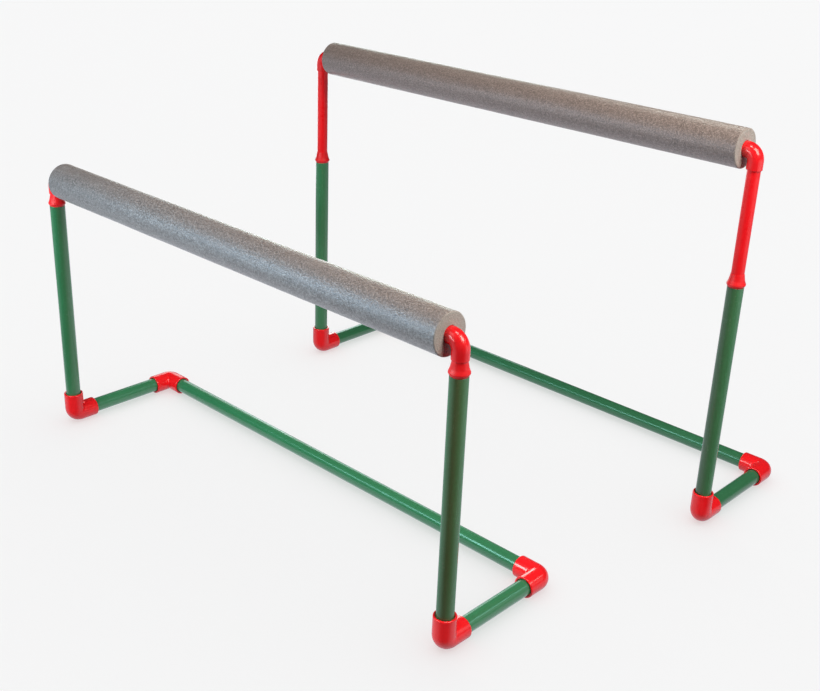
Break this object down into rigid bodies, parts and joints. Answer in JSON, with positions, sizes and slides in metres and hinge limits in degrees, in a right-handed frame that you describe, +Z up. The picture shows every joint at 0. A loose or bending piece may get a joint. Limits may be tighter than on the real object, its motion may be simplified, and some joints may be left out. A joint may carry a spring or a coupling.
{
  "type": "parallel bars",
  "caption": "Low free-standing parallel bars for children: separate tube frames with push-fit floor elbows, each carrying a foam-covered bar on telescoping posts.",
  "frame": {"origin": "on the floor, under the middle of the box around both frames", "axes": "+X along the bars towards the right, +Y from the front frame to the rear frame, +Z up"},
  "size_m": [1.2874, 1.0187, 0.8184],
  "materials": {
    "tube_green": "gloss",
    "floor_elbow_red": "gloss",
    "collar_red": "gloss",
    "slider_red": "gloss",
    "top_elbow_red": "gloss",
    "bush_plastic": "matte",
    "grip_rubber": "matte",
    "foam_grey": "matte"
  },
  "bodies": {
    "front_stand": {"front_base_long_tube": "tube_green", "front_base_short_tube_left": "tube_green", "front_foot_elbow_left": "floor_elbow_red", "front_back_elbow_left": "floor_elbow_red", "front_post_left": "tube_green", "front_collar_left": "collar_red", "front_grip_ring_left": "grip_rubber", "front_base_short_tube_right": "tube_green", "front_foot_elbow_right": "floor_elbow_red", "front_back_elbow_right": "floor_elbow_red", "front_post_right": "tube_green", "front_collar_right": "collar_red", "front_grip_ring_right": "grip_rubber"},
    "front_bar": {"front_inner_tube_left": "slider_red", "front_guide_bush_left": "bush_plastic", "front_top_elbow_left": "top_elbow_red", "front_inner_tube_right": "slider_red", "front_guide_bush_right": "bush_plastic", "front_top_elbow_right": "top_elbow_red", "front_bar_tube": "slider_red", "front_foam_sleeve": "foam_grey"},
    "rear_stand": {"rear_base_long_tube": "tube_green", "rear_base_short_tube_left": "tube_green", "rear_foot_elbow_left": "floor_elbow_red", "rear_back_elbow_left": "floor_elbow_red", "rear_post_left": "tube_green", "rear_collar_left": "collar_red", "rear_grip_ring_left": "grip_rubber", "rear_base_short_tube_right": "tube_green", "rear_foot_elbow_right": "floor_elbow_red", "rear_back_elbow_right": "floor_elbow_red", "rear_post_right": "tube_green", "rear_collar_right": "collar_red", "rear_grip_ring_right": "grip_rubber"},
    "rear_bar": {"rear_inner_tube_left": "slider_red", "rear_guide_bush_left": "bush_plastic", "rear_top_elbow_left": "top_elbow_red", "rear_inner_tube_right": "slider_red", "rear_guide_bush_right": "bush_plastic", "rear_top_elbow_right": "top_elbow_red", "rear_bar_tube": "slider_red", "rear_foam_sleeve": "foam_grey"}
  },
  "joints": [
    {"name": "front_bar_height", "type": "slide", "parent": "front_stand", "child": "front_bar", "axis": [0, 0, 1], "range_m": [0, 0.2]},
    {"name": "rear_bar_height", "type": "slide", "parent": "rear_stand", "child": "rear_bar", "axis": [0, 0, 1], "range_m": [-0.2, 0]},
    {"name": "frame_spacing", "type": "slide", "parent": "front_stand", "child": "rear_stand", "axis": [0, 1, 0], "range_m": [-0.3, 0.3]}
  ]
}
